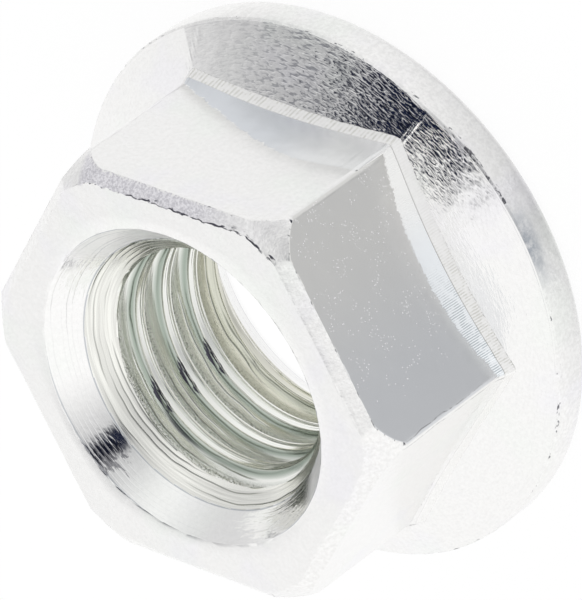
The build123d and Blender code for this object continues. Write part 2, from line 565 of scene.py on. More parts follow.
def grain(tree, vector, fineness, detail=2.0, roughness=0.5, distortion=0.0):
    """Noise of about 0 to 1 with the given number of features in a millimetre."""
    return add_node(tree, "ShaderNodeTexNoise", {
        "Vector": vector, "Scale": fineness, "Detail": detail, "Roughness": roughness,
        "Distortion": distortion}).outputs[0]


def attribute(tree, name):
    """Value of one of the mesh's own attributes."""
    return add_node(tree, "ShaderNodeAttribute", attribute_name=name).outputs["Fac"]


def open_group(name, takes, gives):
    """Start a node group with named float inputs (with defaults) and named outputs."""
    tree = bpy.data.node_groups.new(name, "ShaderNodeTree")
    for socket_name, default in takes.items():
        socket = tree.interface.new_socket(socket_name, in_out="INPUT", socket_type="NodeSocketFloat")
        socket.default_value = default
    for socket_name, kind in gives.items():
        tree.interface.new_socket(socket_name, in_out="OUTPUT", socket_type="NodeSocket" + kind)
    return tree, add_node(tree, "NodeGroupInput").outputs, add_node(tree, "NodeGroupOutput").inputs


def use(tree, group, **inputs):
    """Place a node group and return its outputs."""
    inputs = {name.replace("_", " "): value for name, value in inputs.items()}
    return add_node(tree, "ShaderNodeGroup", inputs, node_tree=group).outputs


# Colours of the plating, of its marks, of the painted shade and reflections in its pits, grooves, creases,
# edges and roots, and of the two flares pressed differently.
ZINC_WHITE = (1.0, 0.995, 0.985, 1)
ZINC_LILAC = (0.975, 0.965, 1.0, 1)
ZINC_GREEN = (0.975, 1.0, 0.965, 1)
# Painted shade: the black of small pits, nicks and burrs.
PIT_SHADE_BLACK = (0.07, 0.07, 0.09, 1)
SPECK_WHITE = (1.0, 1.0, 1.0, 1)
VALLEY_SHADE_GREY = (0.62, 0.62, 0.65, 1)
BEVEL_DARK = (0.66, 0.65, 0.69, 1)
BEVEL_LIGHT = (0.9, 0.89, 0.92, 1)
FLAT_WARM = (0.885, 0.88, 0.855, 1)
FLAT_COLD = (0.80, 0.815, 0.835, 1)
STRIPED_FLARE_BLUE = (0.93, 0.96, 0.985, 1)
STRIPED_FLARE_CREAM = (1.0, 1.0, 0.985, 1)
STRIPE_GREY = (0.52, 0.57, 0.6, 1)
BLUE_FLARE_DARK = (0.72, 0.745, 0.78, 1)
BLUE_FLARE_LIGHT = (0.88, 0.885, 0.885, 1)
WORN_GREY = (0.25, 0.25, 0.25, 1)
TICK_DRAB = (0.66, 0.66, 0.6, 1)
CREASE_SHADE_GREY = (0.2, 0.2, 0.19, 1)
PIT_SHADE_BLUE = (0.24, 0.25, 0.29, 1)
SMEAR_BLUE = (0.42, 0.45, 0.49, 1)
RING_SHADE_BLUE = (0.24, 0.28, 0.33, 1)
MOUTH_REFLECTION_BLUE = (0.12, 0.12, 0.15, 1)
LEAD_IN_CREAM = (0.97, 0.97, 0.92, 1)
LEAD_IN_DRAB = (0.8, 0.8, 0.76, 1)
LEAD_IN_FAR = (0.73, 0.71, 0.6, 1)
LEAD_IN_GROOVE_SHADE = (0.2, 0.21, 0.19, 1)
FLANK_CREAM = (1.0, 1.0, 0.96, 1)
FLANK_LINE = (0.92, 0.94, 0.89, 1)
CREST_EDGE_REFLECTION_GREEN = (0.36, 0.42, 0.36, 1)
ROOT_SPECKLE_SHADE = (0.3, 0.32, 0.29, 1)
THREAD_FAR = (0.78, 0.77, 0.66, 1)
THREAD_GROOVE_SHADE = (0.13, 0.15, 0.12, 1)


def make_places_group():
    """Where a point lies on the nut, in millimetres and degrees."""
    tree, _, gives = open_group("nut_places", {}, {
        "Place": "Vector", "Radius": "Float", "Height": "Float", "Angle": "Float",
        "Along Flat": "Float", "Flat Number": "Float", "Off Corner": "Float",
        "Thread Rise": "Float", "Round Axis": "Vector"})
    metres = add_node(tree, "ShaderNodeTexCoord").outputs["Object"]
    place = scale(tree, metres, 1 / MM)
    part = add_node(tree, "ShaderNodeSeparateXYZ", {0: place}).outputs
    angle = calculate(tree, "ARCTAN2", part["Y"], part["X"])
    level = vector_of(tree, part["X"], part["Y"])
    radius = add_node(tree, "ShaderNodeVectorMath", {0: level}, operation="LENGTH").outputs["Value"]
    round_axis = add_node(tree, "ShaderNodeVectorMath", {0: level}, operation="NORMALIZE")
    sixths = calculate(tree, "DIVIDE", angle, SIXTH)
    number = calculate(tree, "FLOOR", sixths)
    along = calculate(tree, "SUBTRACT", calculate(tree, "FRACT", sixths), 0.5)
    off_middle = multiply(tree, along, SIXTH)
    nearest = calculate(tree, "ROUND", sixths)
    off_corner = multiply(tree, calculate(tree, "SUBTRACT", sixths, nearest), SIXTH)
    climb = calculate(tree, "MULTIPLY_ADD", angle, -PITCH / math.tau, part["Z"])
    pitches = calculate(tree, "DIVIDE", calculate(tree, "SUBTRACT", climb, THREAD_START), PITCH)
    for name, value in (
            ("Place", place), ("Radius", radius), ("Height", part["Z"]),
            ("Angle", calculate(tree, "DEGREES", angle)),
            ("Along Flat", multiply(tree, radius, calculate(tree, "SINE", off_middle))),
            ("Flat Number", number), ("Off Corner", multiply(tree, radius, off_corner)),
            ("Thread Rise", multiply(tree, calculate(tree, "FRACT", pitches), PITCH)),
            ("Round Axis", round_axis.outputs["Vector"])):
        tree.links.new(value, gives[name])
    return tree


def make_tint_group():
    """Colour of the zinc: pale grey with faint lilac and green clouds, and a light speckle."""
    tree, takes, gives = open_group(
        "zinc_tint", {"Brightness": 0.9, "Cloud": 0.5, "Speckle": 0.3}, {"Color": "Color"})
    place = use(tree, PLACES)["Place"]
    lilac = multiply(tree, fade(tree, grain(tree, place, 0.32, 3.0), 0.5, 0.7), takes["Cloud"])
    elsewhere = shift(tree, place, (31.0, 17.0, 5.0))
    green = multiply(tree, fade(tree, grain(tree, elsewhere, 0.25, 3.0), 0.5, 0.7), takes["Cloud"])
    colour = blend(tree, lilac, ZINC_WHITE, ZINC_LILAC)
    colour = blend(tree, green, colour, ZINC_GREEN)
    fine = fade(tree, grain(tree, place, 6.0, 2.0, 0.7), 0.3, 0.7, -0.06, 0.06)
    level = calculate(tree, "MULTIPLY_ADD", fine, takes["Speckle"], takes["Brightness"])
    tree.links.new(scale(tree, colour, level), gives["Color"])
    return tree


def make_peel_group():
    """A forged skin: wormlike swellings drawn out round the axis, and a mask of pits in it."""
    tree, takes, gives = open_group(
        "forged_skin", {"Worms": 0.012, "Waves": 0.02, "Across": 8.0, "Around": 4.0, "Outward": -1.0},
        {"Height": "Float", "Pits": "Float"})
    at = use(tree, PLACES)
    around = scale(tree, at["Round Axis"], multiply(tree, takes["Around"], FLANGE_RADIUS))
    slope = add(tree, at["Height"], multiply(tree, at["Radius"], takes["Outward"]))
    vector = shift(tree, around, vector_of(tree, z=multiply(tree, slope, takes["Across"])))
    worms = grain(tree, vector, 1.0, 1.0, 0.6, 0.4)
    waves = grain(tree, at["Place"], 0.8, 1.0)
    height = add(tree, multiply(tree, worms, takes["Worms"]), multiply(tree, waves, takes["Waves"]))
    tree.links.new(height, gives["Height"])
    tree.links.new(fade(tree, worms, 0.5, 0.37), gives["Pits"])
    return tree


def make_drag_group():
    """Fine lines dragged down the nut by the die, at about even distances, stronger in places."""
    tree, takes, gives = open_group(
        "die_drag", {"Depth": 0.006, "Spacing": 0.12}, {"Height": "Float", "Line": "Float"})
    at = use(tree, PLACES)
    uneven = multiply(tree, grain(tree, at["Place"], 1.3, 2.0), 4.0)
    turns = calculate(tree, "DIVIDE", multiply(tree, at["Along Flat"], math.tau), takes["Spacing"])
    line = fade(tree, calculate(tree, "SINE", add(tree, turns, uneven)), -0.4, 0.7)
    line = multiply(tree, line, fade(tree, grain(tree, at["Place"], 2.5, 2.0), 0.4, 0.6, 0.15, 1.0))
    tree.links.new(line, gives["Line"])
    tree.links.new(multiply(tree, line, takes["Depth"]), gives["Height"])
    return tree


def make_tool_line_group():
    """Lines left by a cutting tool: soft ones, and thin broken grooves of uneven strength."""
    tree, takes, gives = open_group(
        "tool_lines", {"Across": 0.0, "Fineness": 5.0, "Depth": 0.004},
        {"Height": "Float", "Line": "Float", "Groove": "Float"})
    place = use(tree, PLACES)["Place"]
    across = multiply(tree, takes["Across"], takes["Fineness"])
    turned = shift(tree, scale(tree, place, 0.25), vector_of(tree, z=multiply(tree, across, 2.0)))
    soft = grain(tree, turned, 1.0, 2.0)
    cells = add(tree, across, multiply(tree, grain(tree, place, 0.35), 1.6))
    width = near(tree, calculate(tree, "FRACT", cells), 0.5, 0.2)
    number = multiply(tree, calculate(tree, "FLOOR", cells), 5.7)
    strength = grain(tree, shift(tree, scale(tree, place, 0.14), vector_of(tree, z=number)), 1.0, 2.0)
    groove = multiply(tree, width, fade(tree, strength, 0.44, 0.58))
    tree.links.new(fade(tree, soft, 0.35, 0.65), gives["Line"])
    tree.links.new(groove, gives["Groove"])
    height = calculate(tree, "SUBTRACT", multiply(tree, soft, 0.5), groove)
    tree.links.new(multiply(tree, height, takes["Depth"]), gives["Height"])
    return tree


def make_painted_dark_fleck_group():
    """Mask of ragged flecks that are painted dark as shade and reflections, drawn out along a worn edge
    and thick where the amount is high.
    """
    tree, takes, gives = open_group(
        "painted_dark_flecks", {"Along": 0.0, "Across": 0.0, "Amount": 0.3, "Fineness": 9.0}, {"Mask": "Float"})
    number = use(tree, PLACES)["Flat Number"]
    vector = vector_of(tree, multiply(tree, takes["Along"], 0.35), takes["Across"],
                       multiply(tree, number, 3.1))
    level = grain(tree, vector, takes["Fineness"], 2.5, 0.7, 0.3)
    edge = calculate(tree, "MULTIPLY_ADD", takes["Amount"], -0.4, 0.8)
    mask = fade(tree, calculate(tree, "SUBTRACT", level, edge), 0.0, 0.06)
    tree.links.new(mask, gives["Mask"])
    return tree


def make_speck_group():
    """Mask of tiny bright dull specks that lie in loose clusters."""
    tree, takes, gives = open_group("bright_specks", {"Fineness": 6.0, "Amount": 0.5}, {"Mask": "Float"})
    place = use(tree, PLACES)["Place"]
    cells = add_node(tree, "ShaderNodeTexVoronoi", {"Vector": place, "Scale": takes["Fineness"]}).outputs
    dot = fade(tree, cells["Distance"], 0.32, 0.12)
    chosen = add_node(tree, "ShaderNodeSeparateColor", {0: cells["Color"]}).outputs[0]
    clusters = fade(tree, grain(tree, place, 0.9, 3.0), 0.44, 0.62, 0.0, takes["Amount"])
    kept = calculate(tree, "LESS_THAN", chosen, clusters)
    tree.links.new(multiply(tree, dot, kept), gives["Mask"])
    return tree


def make_dent_group():
    """Height of soft uneven hollows."""
    tree, takes, gives = open_group("soft_dents", {"Fineness": 1.0, "Depth": 0.01}, {"Height": "Float"})
    hollows = grain(tree, use(tree, PLACES)["Place"], takes["Fineness"], 2.0)
    tree.links.new(multiply(tree, hollows, takes["Depth"]), gives["Height"])
    return tree


PLACES = make_places_group()
TINT = make_tint_group()
PEEL = make_peel_group()
DENTS = make_dent_group()
DRAG = make_drag_group()
TOOL_LINES = make_tool_line_group()
PAINTED_DARK_FLECKS = make_painted_dark_fleck_group()
SPECKS = make_speck_group()

# The two wrench flats whose feet were pressed differently from the others', by number from +X.
BLUE_FLARE_FLAT = -1
STRIPED_FLARE_FLAT = -2

# Where single marks lie round the axis, in degrees.
NICK_SHADE_AT = -63.5
RINGED_SIDE_AT = -65.0
RIM_NICKS_AT = -73.0
RIM_SMEAR_AT = -93.0
WORN_CORNER_AT = -120.0
THREAD_PIT_SHADE_AT = 102.0
MOUTH_REFLECTION_AT = 107.0

# Where the attribute down_section crosses from one zone of the outside into the next.
FACE_EDGE = 1.0
BEVEL_FOOT = 2.0
SKIRT_CREASE = 4.0
SKIRT_FOOT = 5.0


def empty_material(name):
    """A material without nodes."""
    material = bpy.data.materials.new(name)
    material.use_nodes = True
    material.node_tree.nodes.clear()
    return material


def start_zinc(name):
    """Start a zinc finish: its material, its node tree and where a point lies on the nut."""
    material = empty_material(name)
    return material, material.node_tree, use(material.node_tree, PLACES)


def finish_zinc(material, colour, height, roughness, metallic=1.0):
    """Put colour, height in millimetres, roughness and how metallic it is on the shader."""
    tree = material.node_tree
    bump = add_node(tree, "ShaderNodeBump", {"Height": height, "Distance": MM, "Strength": 1.0})
    shader = add_node(tree, "ShaderNodeBsdfPrincipled", {
        "Base Color": colour, "Metallic": metallic, "Roughness": roughness, "Normal": bump.outputs[0]})
    add_node(tree, "ShaderNodeOutputMaterial", {"Surface": shader.outputs[0]})
    return material


def on_flat(tree, at, number):
    """Mask of one wrench flat and of what lies below it."""
    return calculate(tree, "COMPARE", at["Flat Number"], number, 0.1)


def dent(tree, fineness, depth):
    """Place the soft hollows with the given number in a millimetre, and return their height."""
    return use(tree, DENTS, Fineness=fineness, Depth=depth)["Height"]


def zinc_on_face():
    """The free end and the bearing face: smooth, with flecks of painted shade beside the burr and painted
    shade in the valleys.
    """
    material, tree, at = start_zinc("zinc_on_face")
    colour = use(tree, TINT, Brightness=0.94, Cloud=0.7, Speckle=0.3)["Color"]
    beside_burr = multiply(tree, near(tree, attribute(tree, "down_section"), FACE_EDGE, 0.07),
                           attribute(tree, "burr_roughness"))
    # Painted shade: black flecks beside the burr.
    flecks = use(tree, PAINTED_DARK_FLECKS, Along=at["Along Flat"], Across=at["Radius"],
                 Amount=multiply(tree, beside_burr, 0.75))["Mask"]
    colour = blend(tree, flecks, colour, PIT_SHADE_BLACK)
    # Painted shade: grey in the valleys between the teeth.
    valley = multiply(tree, fade(tree, at["Height"], 0.0, 0.25),
                      calculate(tree, "LESS_THAN", at["Height"], 1.0))
    colour = blend(tree, valley, colour, VALLEY_SHADE_GREY)
    height = add(tree, dent(tree, 1.1, 0.012), dent(tree, 7.0, 0.0012))
    return finish_zinc(material, colour, height, 0.24)


def zinc_on_chamfer():
    """The bevel, grey with a broken burr over one flat and white over the others, with painted shade in
    black flecks along the burr and at a nick.
    """
    material, tree, at = start_zinc("zinc_on_chamfer")
    down = attribute(tree, "down_section")
    rough = attribute(tree, "burr_roughness")
    fine = grain(tree, at["Place"], 9.0, 2.0, 0.7)
    uneven_edge = fade(tree, fine, 0.3, 0.7, -0.12, 0.12)
    burred = multiply(tree, fade(tree, rough, 0.5, 0.9),
                      fade(tree, add(tree, down, uneven_edge), BEVEL_FOOT, BEVEL_FOOT - 0.15),
                      fade(tree, at["Along Flat"], -3.8, -1.0, 0.2, 1.0))
    white = use(tree, TINT, Brightness=0.93, Cloud=0.6, Speckle=0.7)["Color"]
    grey = blend(tree, fade(tree, fine, 0.35, 0.65), BEVEL_DARK, BEVEL_LIGHT)
    colour = blend(tree, burred, white, grey)
    broken = fade(tree, grain(tree, at["Place"], 0.7, 2.0), 0.4, 0.56, 0.6, 1.0)
    start = fade(tree, at["Along Flat"], 3.6, 1.5, 0.35, 1.0)
    striped = on_flat(tree, at, STRIPED_FLARE_FLAT)
    # Painted shade: black flecks along the burr, at a nick, at the bevel's foot and faintly wherever it is
    # rough.
    amount = add(tree, multiply(tree, near(tree, down, FACE_EDGE + 0.02, 0.12), rough, broken, start),
                 multiply(tree, near(tree, at["Angle"], NICK_SHADE_AT, 2.6),
                          near(tree, down, FACE_EDGE + 0.1, 0.3)),
                 multiply(tree, near(tree, down, BEVEL_FOOT - 0.05, 0.2), rough, 0.3),
                 multiply(tree, near(tree, down, BEVEL_FOOT, 0.12), striped, 0.5),
                 multiply(tree, rough, 0.1))
    flecks = use(tree, PAINTED_DARK_FLECKS, Along=multiply(tree, at["Along Flat"], 0.6), Amount=amount,
                 Across=multiply(tree, at["Height"], 1.5))["Mask"]
    colour = blend(tree, flecks, colour, PIT_SHADE_BLACK)
    height = add(tree, multiply(tree, fine, 0.012), dent(tree, 1.5, 0.02))
    return finish_zinc(material, colour, height, 0.26)


def flare_colour(tree, at, plain, stripes):
    """Colour of the flares: pale with stripes on one flat, grey-blue on another, or plain."""
    towards_end = fade(tree, at["Along Flat"], 0.5, 3.5)
    pale = blend(tree, towards_end, STRIPED_FLARE_BLUE, STRIPED_FLARE_CREAM)
    pale = blend(tree, stripes, pale, STRIPE_GREY)
    grey_blue = blend(tree, fade(tree, at["Along Flat"], 0.0, -4.0), BLUE_FLARE_DARK, BLUE_FLARE_LIGHT)
    colour = blend(tree, on_flat(tree, at, STRIPED_FLARE_FLAT), plain, pale)
    return blend(tree, on_flat(tree, at, BLUE_FLARE_FLAT), colour, grey_blue)


def corner_wear(tree, at):
    """Mask of a faint worn line beside each corner, and of strong ones on both sides of one."""
    crook = fade(tree, grain(tree, at["Place"], 0.7, 3.0), 0.3, 0.7, -0.06, 0.06)
    off_corner = add(tree, at["Off Corner"], crook)
    patchy = fade(tree, grain(tree, at["Place"], 1.6, 3.0, 0.7), 0.42, 0.56)
    most_worn = near(tree, at["Angle"], WORN_CORNER_AT, 8.0)
    lines = add(tree, near(tree, off_corner, -0.17, 0.045),
                multiply(tree, near(tree, off_corner, 0.16, 0.035), most_worn))
    return multiply(tree, lines, patchy, fade(tree, most_worn, 0.0, 0.5, 0.15, 0.75))


def zinc_on_flat():
    """The wrench flats: smooth with worn corners, and on one flat bright specks and a cast, with painted
    shade towards the flare.
    """
    material, tree, at = start_zinc("zinc_on_flat")
    striped = on_flat(tree, at, STRIPED_FLARE_FLAT)
    into_flare = attribute(tree, "into_flare")
    ragged = fade(tree, grain(tree, at["Place"], 9.0, 1.0), 0.3, 0.7, -0.06, 0.06)
    flare = fade(tree, add(tree, into_flare, ragged), -0.03, 0.05)
    drag = use(tree, DRAG, Depth=0.005, Spacing=0.1)
    stripes = multiply(tree, drag["Line"], fade(tree, at["Along Flat"], 0.5, -2.5), striped)
    plain = use(tree, TINT, Brightness=0.93, Cloud=0.7, Speckle=0.4)["Color"]
    cast = blend(tree, fade(tree, at["Along Flat"], 3.5, -3.5), FLAT_WARM, FLAT_COLD)
    # Painted shade: the flat is darkened near the flare, over the flange's bright reflection in it.
    shade_beside_flare = fade(tree, into_flare, -0.9, -0.1, 1.0, 0.86)
    plain = blend(tree, striped, plain, scale(tree, cast, shade_beside_flare))
    colour = blend(tree, flare, plain, flare_colour(tree, at, plain, stripes))
    colour = blend(tree, corner_wear(tree, at), colour, WORN_GREY)
    specked = multiply(tree, striped, fade(tree, at["Along Flat"], -4.0, -0.5),
                       fade(tree, into_flare, 0.0, -0.3))
    specks = use(tree, SPECKS, Fineness=8.0, Amount=specked)["Mask"]
    colour = blend(tree, specks, colour, SPECK_WHITE)
    whitened = multiply(tree, flare, striped, fade(tree, at["Along Flat"], 0.5, 3.5))
    dull = add(tree, multiply(tree, specks, 0.6), multiply(tree, whitened, 0.5))
    height = add(tree, multiply(tree, drag["Height"], flare, striped), dent(tree, 0.6, 0.015),
                 dent(tree, 5.0, 0.001))
    return finish_zinc(material, colour, height, 0.2, calculate(tree, "SUBTRACT", 1.0, dull))


def zinc_on_skirt():
    """The skirt: white, with fine ticks across it, and painted shade in the crease above and in dark dots
    along the foot below.
    """
    material, tree, at = start_zinc("zinc_on_skirt")
    down = attribute(tree, "down_section")
    blue, striped = on_flat(tree, at, BLUE_FLARE_FLAT), on_flat(tree, at, STRIPED_FLARE_FLAT)
    drag = use(tree, DRAG, Depth=0.006, Spacing=fade(tree, blue, 0.0, 1.0, 0.12, 0.2))
    ticked = calculate(tree, "MAXIMUM", multiply(tree, striped, fade(tree, at["Along Flat"], 3.0, -2.5)),
                       multiply(tree, blue, 0.7))
    colour = use(tree, TINT, Brightness=1.0, Cloud=0.2, Speckle=0.3)["Color"]
    ticks = multiply(tree, drag["Line"], fade(tree, ticked, 0.0, 1.0, 0.15, 0.7))
    colour = blend(tree, ticks, colour, TICK_DRAB)
    # Painted shade: a dark line in the crease above the skirt and dark dots along its foot.
    crease = multiply(tree, near(tree, down, SKIRT_CREASE, 0.1), fade(tree, striped, 0.0, 1.0, 0.2, 0.75))
    foot_shade_dots = multiply(tree, near(tree, down, SKIRT_FOOT, 0.12), fade(tree, ticked, 0.0, 1.0, 0.1, 0.5),
                    fade(tree, grain(tree, at["Place"], 8.0, 1.0), 0.4, 0.6))
    colour = blend(tree, calculate(tree, "MAXIMUM", crease, foot_shade_dots), colour, CREASE_SHADE_GREY)
    height = add(tree, multiply(tree, drag["Height"], ticked), dent(tree, 6.0, 0.004))
    metallic = fade(tree, add(tree, blue, multiply(tree, striped, 0.7)), 0.0, 1.0, 0.75, 0.15)
    return finish_zinc(material, colour, height, 0.24, metallic)


def zinc_on_cone():
    """The flange's cone: a mirror with a fine peel, coarser and pitted in front of two flats, with painted
    shade in the pits.
    """
    material, tree, at = start_zinc("zinc_on_cone")
    colour = use(tree, TINT, Brightness=0.94, Cloud=0.6, Speckle=0.3)["Color"]
    blue, striped = on_flat(tree, at, BLUE_FLARE_FLAT), on_flat(tree, at, STRIPED_FLARE_FLAT)
    coarse = add(tree, multiply(tree, blue, fade(tree, at["Along Flat"], 5.0, -2.0, 0.15, 1.0)),
                 multiply(tree, striped, fade(tree, at["Along Flat"], 1.0, 5.0)))
    worms = fade(tree, coarse, 0.0, 1.0, 0.005, 0.022)
    peel = use(tree, PEEL, Worms=worms, Waves=0.015, Across=8.0, Around=2.4)
    # Painted shade: the pits are darkened blue-grey.
    pit_shade_amount = fade(tree, add(tree, coarse, multiply(tree, striped, -0.3)), 0.0, 1.0, 0.03, 0.65)
    colour = blend(tree, multiply(tree, peel["Pits"], pit_shade_amount), colour, PIT_SHADE_BLUE)
    return finish_zinc(material, colour, peel["Height"], 0.08)


def zinc_on_rim():
    """The rim: soft blotches, rough patches, a grey smear and small nicks along its top edge, with painted
    shade in black flecks on the patches and nicks.
    """
    material, tree, at = start_zinc("zinc_on_rim")
    patches = fade(tree, grain(tree, at["Place"], 0.45, 2.0), 0.56, 0.66)
    colour = use(tree, TINT, Brightness=0.92, Cloud=0.6, Speckle=0.9)["Color"]
    around = multiply(tree, at["Angle"], math.tau * FLANGE_RADIUS / 360)
    near_top = fade(tree, at["Height"], 1.8, 2.05)
    smear = multiply(tree, near(tree, at["Angle"], RIM_SMEAR_AT, 12.0), fade(tree, at["Height"], 1.0, 1.8),
                     fade(tree, grain(tree, at["Place"], 2.5, 3.0, 0.7), 0.3, 0.6, 0.4, 1.0))
    colour = blend(tree, smear, colour, SMEAR_BLUE)
    nicked = multiply(tree, near(tree, at["Angle"], RIM_NICKS_AT, 8.0),
                      near(tree, at["Height"], 2.05, 0.2))
    amount = add(tree, multiply(tree, near_top, 0.46), multiply(tree, patches, 0.2),
                 multiply(tree, nicked, 0.42))
    # Painted shade: black flecks along the top edge, on the rough patches and at the nicks.
    flecks = use(tree, PAINTED_DARK_FLECKS, Along=around, Across=at["Height"], Fineness=6.0, Amount=amount)["Mask"]
    colour = blend(tree, multiply(tree, flecks, 0.85), colour, PIT_SHADE_BLACK)
    height = add(tree, dent(tree, 0.8, 0.05), multiply(tree, dent(tree, 8.0, 0.015), patches),
                 dent(tree, 4.0, 0.006))
    return finish_zinc(material, colour, height, 0.28)


def off_lead_in(tree, at):
    """Distance outside the upper edge of the lead-in cone, which stands a little off centre."""
    towards = Vector((math.cos(LEAD_IN_TOWARDS), math.sin(LEAD_IN_TOWARDS), 0.0)) * LEAD_IN_OFFSET
    further = add_node(tree, "ShaderNodeVectorMath", {0: at["Round Axis"], 1: towards},
                       operation="DOT_PRODUCT").outputs["Value"]
    return add(tree, calculate(tree, "SUBTRACT", at["Radius"], further), -LEAD_IN_RADIUS)


def zinc_on_countersink():
    """The countersink: bright, whiter and ringed by the tool on one side, with painted shade in its
    grooves and along both edges, and a painted dark reflection opposite.
    """
    material, tree, at = start_zinc("zinc_on_countersink")
    colour = use(tree, TINT, Brightness=0.97, Cloud=0.5, Speckle=0.3)["Color"]
    lines = use(tree, TOOL_LINES, Across=at["Radius"], Fineness=8.0, Depth=0.004)
    off_middle = calculate(tree, "ABSOLUTE", add(tree, at["Angle"], -RINGED_SIDE_AT))
    ringed = fade(tree, off_middle, 95.0, 75.0, 0.08, 0.42)
    mouth = near(tree, at["Radius"], COUNTERSINK_RADIUS, 0.04)
    inner_edge = near(tree, off_lead_in(tree, at), 0.03, 0.04)
    # Painted shade: dark lines in the tool's grooves, at the mouth and at the lead-in's edge.
    line = add(tree, multiply(tree, lines["Groove"], ringed), multiply(tree, mouth, 0.5),
               multiply(tree, inner_edge, 0.6))
    colour = blend(tree, line, colour, RING_SHADE_BLUE)
    # Painted reflection: dark streaky flecks on the inner part of the upper countersink, opposite the
    # rings.
    painted_dark_amount = multiply(tree, near(tree, at["Angle"], MOUTH_REFLECTION_AT, 17.0),
                       fade(tree, at["Radius"], 6.1, 6.6), fade(tree, at["Height"], 6.0, 8.0))
    around = multiply(tree, at["Angle"], math.tau * COUNTERSINK_RADIUS / 360)
    painted_dark_mask = use(tree, PAINTED_DARK_FLECKS, Along=multiply(tree, around, 0.6), Across=multiply(tree, at["Radius"], 1.4),
                 Fineness=7.0, Amount=painted_dark_amount)["Mask"]
    colour = blend(tree, multiply(tree, painted_dark_mask, 0.65), colour, MOUTH_REFLECTION_BLUE)
    peel = use(tree, PEEL, Worms=0.008, Waves=0.0, Across=5.0, Around=1.2, Outward=1.0)["Height"]
    roughness = fade(tree, ringed, 0.1, 0.4, 0.09, 0.26)
    metallic = fade(tree, ringed, 0.1, 0.4, 1.0, 0.1)
    return finish_zinc(material, colour, add(tree, lines["Height"], peel), roughness, metallic)


def zinc_on_lead_in():
    """The lead-in cone: a cream band with fine turned lines and painted shade in their grooves, drab at
    the far end.
    """
    material, tree, at = start_zinc("zinc_on_lead_in")
    lines = use(tree, TOOL_LINES, Across=at["Height"], Fineness=6.0, Depth=0.01)
    far_end = fade(tree, at["Height"], 3.5, 2.5)
    colour = blend(tree, lines["Line"], LEAD_IN_CREAM, LEAD_IN_DRAB)
    colour = blend(tree, far_end, colour, LEAD_IN_FAR)
    # Painted shade in the tool's grooves.
    colour = blend(tree, multiply(tree, lines["Groove"], 0.85), colour, LEAD_IN_GROOVE_SHADE)
    return finish_zinc(material, colour, lines["Height"], 0.16)


def zinc_in_thread():
    """The tapped thread: cream flanks, a painted green reflection on each crest's upper edge, speckled
    roots with painted shade, fine lines with painted shade in their grooves, and dark flecks painted as
    shade in pits.
    """
    material, tree, at = start_zinc("zinc_in_thread")
    rise = at["Thread Rise"]
    far_end = fade(tree, at["Height"], 4.2, 2.6)
    lines = use(tree, TOOL_LINES, Across=rise, Fineness=7.0, Depth=0.012)
    light = blend(tree, lines["Line"], FLANK_CREAM, FLANK_LINE)
    # Painted reflection: the bore's far wall, dark green on each crest's upper edge.
    green = multiply(tree, near(tree, rise, 0.68, 0.18), fade(tree, at["Radius"], 5.65, 5.5))
    colour = blend(tree, multiply(tree, green, 0.95), light, CREST_EDGE_REFLECTION_GREEN)
    # Speckle in the roots, partly real and partly painted shade.
    root = fade(tree, at["Radius"], 5.65, 5.95)
    speckle = fade(tree, grain(tree, at["Place"], 11.0, 2.0, 0.7), 0.52, 0.6)
    colour = blend(tree, multiply(tree, speckle, root, 0.7), colour, ROOT_SPECKLE_SHADE)
    colour = blend(tree, multiply(tree, far_end, 0.75), colour, THREAD_FAR)
    # Painted shade in the tool's grooves.
    colour = blend(tree, multiply(tree, lines["Groove"], 0.8), colour, THREAD_GROOVE_SHADE)
    # Painted shade: black flecks in pits on the crests' upper edge on one side.
    worn = multiply(tree, near(tree, at["Angle"], THREAD_PIT_SHADE_AT, 18.0), near(tree, rise, 0.6, 0.17),
                    fade(tree, at["Height"], 3.6, 4.4))
    painted_dark_amount = fade(tree, worn, 0.0, 0.4, 0.0, 0.85)
    around = multiply(tree, at["Angle"], math.tau * CREST_RADIUS / 360)
    painted_dark_mask = use(tree, PAINTED_DARK_FLECKS, Along=multiply(tree, around, 0.5), Across=multiply(tree, rise, 2.0),
                 Fineness=8.0, Amount=painted_dark_amount)["Mask"]
    colour = blend(tree, painted_dark_mask, colour, PIT_SHADE_BLACK)
    rough = multiply(tree, grain(tree, at["Place"], 10.0, 2.0), root, 0.04)
    roughness = fade(tree, at["Radius"], 5.5, 5.8, 0.14, 0.3)
    return finish_zinc(material, colour, add(tree, lines["Height"], rough), roughness)


def direction(azimuth, elevation):
    """Unit vector towards an azimuth and an elevation in degrees."""
    azimuth, elevation = math.radians(azimuth), math.radians(elevation)
    return Vector((math.cos(azimuth) * math.cos(elevation),
                   math.sin(azimuth) * math.cos(elevation), math.sin(elevation)))


# The light table in metres. Under the bore its paper only glows, and further out it is lit too.
TABLE_SIZE = 2.0
TABLE_DROP = 0.01 * MM
TABLE_GLOW = 1.03
TABLE_GLOW_SHARE = 0.88
BORE_GLOW_ENDS = (0.0066, 0.0074)


